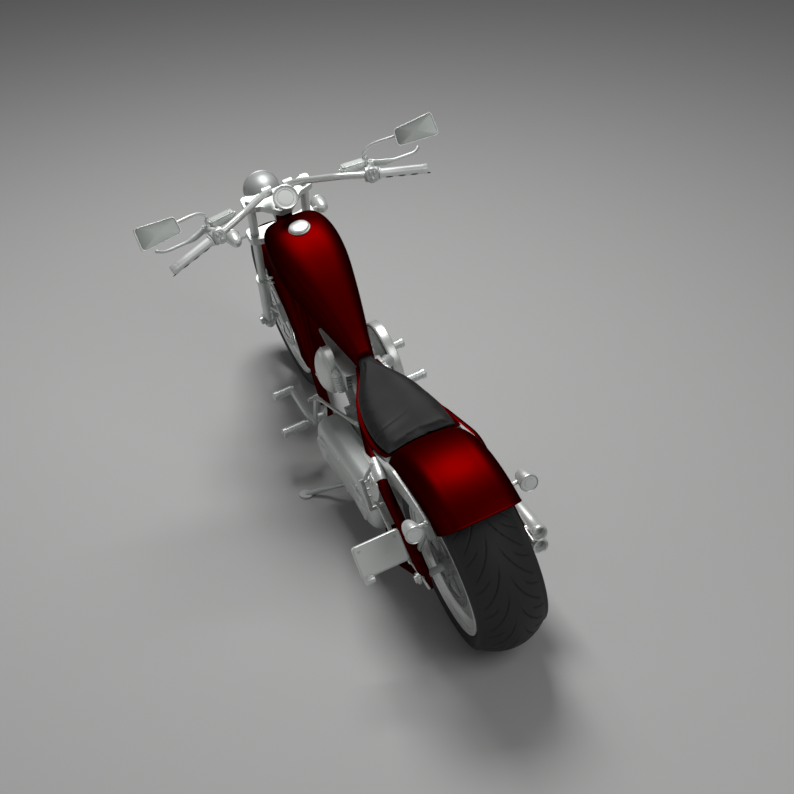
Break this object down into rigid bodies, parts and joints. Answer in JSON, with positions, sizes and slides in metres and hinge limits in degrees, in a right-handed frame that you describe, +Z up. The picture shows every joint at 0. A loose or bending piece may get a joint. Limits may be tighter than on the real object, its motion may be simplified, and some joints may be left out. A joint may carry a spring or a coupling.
{
  "type": "chopper motorcycle",
  "caption": "Low, long-fork motorcycle with an open V-twin engine, teardrop tank and wide rear tyre, parked leaning on its side stand.",
  "frame": {"origin": "on the ground, under the middle of the whole parked machine's box", "axes": "+X forwards, +Y to the rider's left (the side it leans to), +Z up"},
  "size_m": [2.463, 1.1143, 1.3639],
  "materials": {
    "red_paint": "candy gloss",
    "chrome": "polished",
    "satin_metal": "satin",
    "aluminium": "cast, satin",
    "wheel_alloy": "polished",
    "steel": "ground",
    "tyre": "matte",
    "belt": "matte",
    "grip": "satin",
    "seat": "matte",
    "lens": "clear",
    "plate": "satin, blank"
  },
  "bodies": {
    "frame": {"drive_belt": "belt", "rear_signals": "chrome", "rear_fender": "red_paint", "rear_caliper": "satin_metal", "backbone": "red_paint", "frame_left": "red_paint", "frame_right": "red_paint", "rear_axle": "chrome", "fuel_tank": "red_paint", "fuel_cap": "chrome", "seat": "seat", "cylinders": "aluminium", "rocker_boxes": "satin_metal", "crankcase": "satin_metal", "gearbox": "satin_metal", "oil_tank": "satin_metal", "primary_cover": "satin_metal", "horn_cover": "chrome", "air_cleaner": "chrome", "exhausts": "chrome", "fender_struts": "satin_metal", "number_plate": "plate", "foot_controls": "satin_metal"},
    "steering": {"fork_legs": "satin_metal", "front_axle": "chrome", "upper_clamp": "satin_metal", "lower_clamp": "satin_metal", "handlebar": "chrome", "grips": "grip", "hand_controls": "satin_metal", "mirrors": "chrome", "gauge": "chrome", "headlight": "chrome", "headlight_lens": "lens", "front_signals": "chrome", "front_fender": "red_paint", "front_caliper": "satin_metal"},
    "front_wheel": {"front_tyre": "tyre", "front_wheel": "wheel_alloy", "front_disc": "steel"},
    "rear_wheel": {"rear_tyre": "tyre", "rear_wheel": "wheel_alloy", "rear_disc": "steel", "rear_pulley": "aluminium"},
    "side_stand": {"side_stand": "satin_metal"}
  },
  "joints": [
    {"name": "rear_wheel_spin", "type": "hinge", "parent": "frame", "child": "rear_wheel", "pos_m": [-0.90358, -0.18809, 0.32444], "axis": [-0.0003, 0.9781, -0.2079], "continuous": true},
    {"name": "steering_head", "type": "hinge", "parent": "frame", "child": "steering", "pos_m": [0.55184, -0.07873, 0.83702], "axis": [-0.4684, 0.1836, 0.8643], "range_deg": [-30, 30]},
    {"name": "front_wheel_spin", "type": "hinge", "parent": "steering", "child": "front_wheel", "pos_m": [0.88145, -0.18351, 0.34366], "axis": [-0.0003, 0.9781, -0.2079], "continuous": true},
    {"name": "side_stand_fold", "type": "hinge", "parent": "frame", "child": "side_stand", "pos_m": [-0.0339, -0.08891, 0.07324], "axis": [0.0333, 0.3722, 0.9275], "range_deg": [0, 100]}
  ]
}
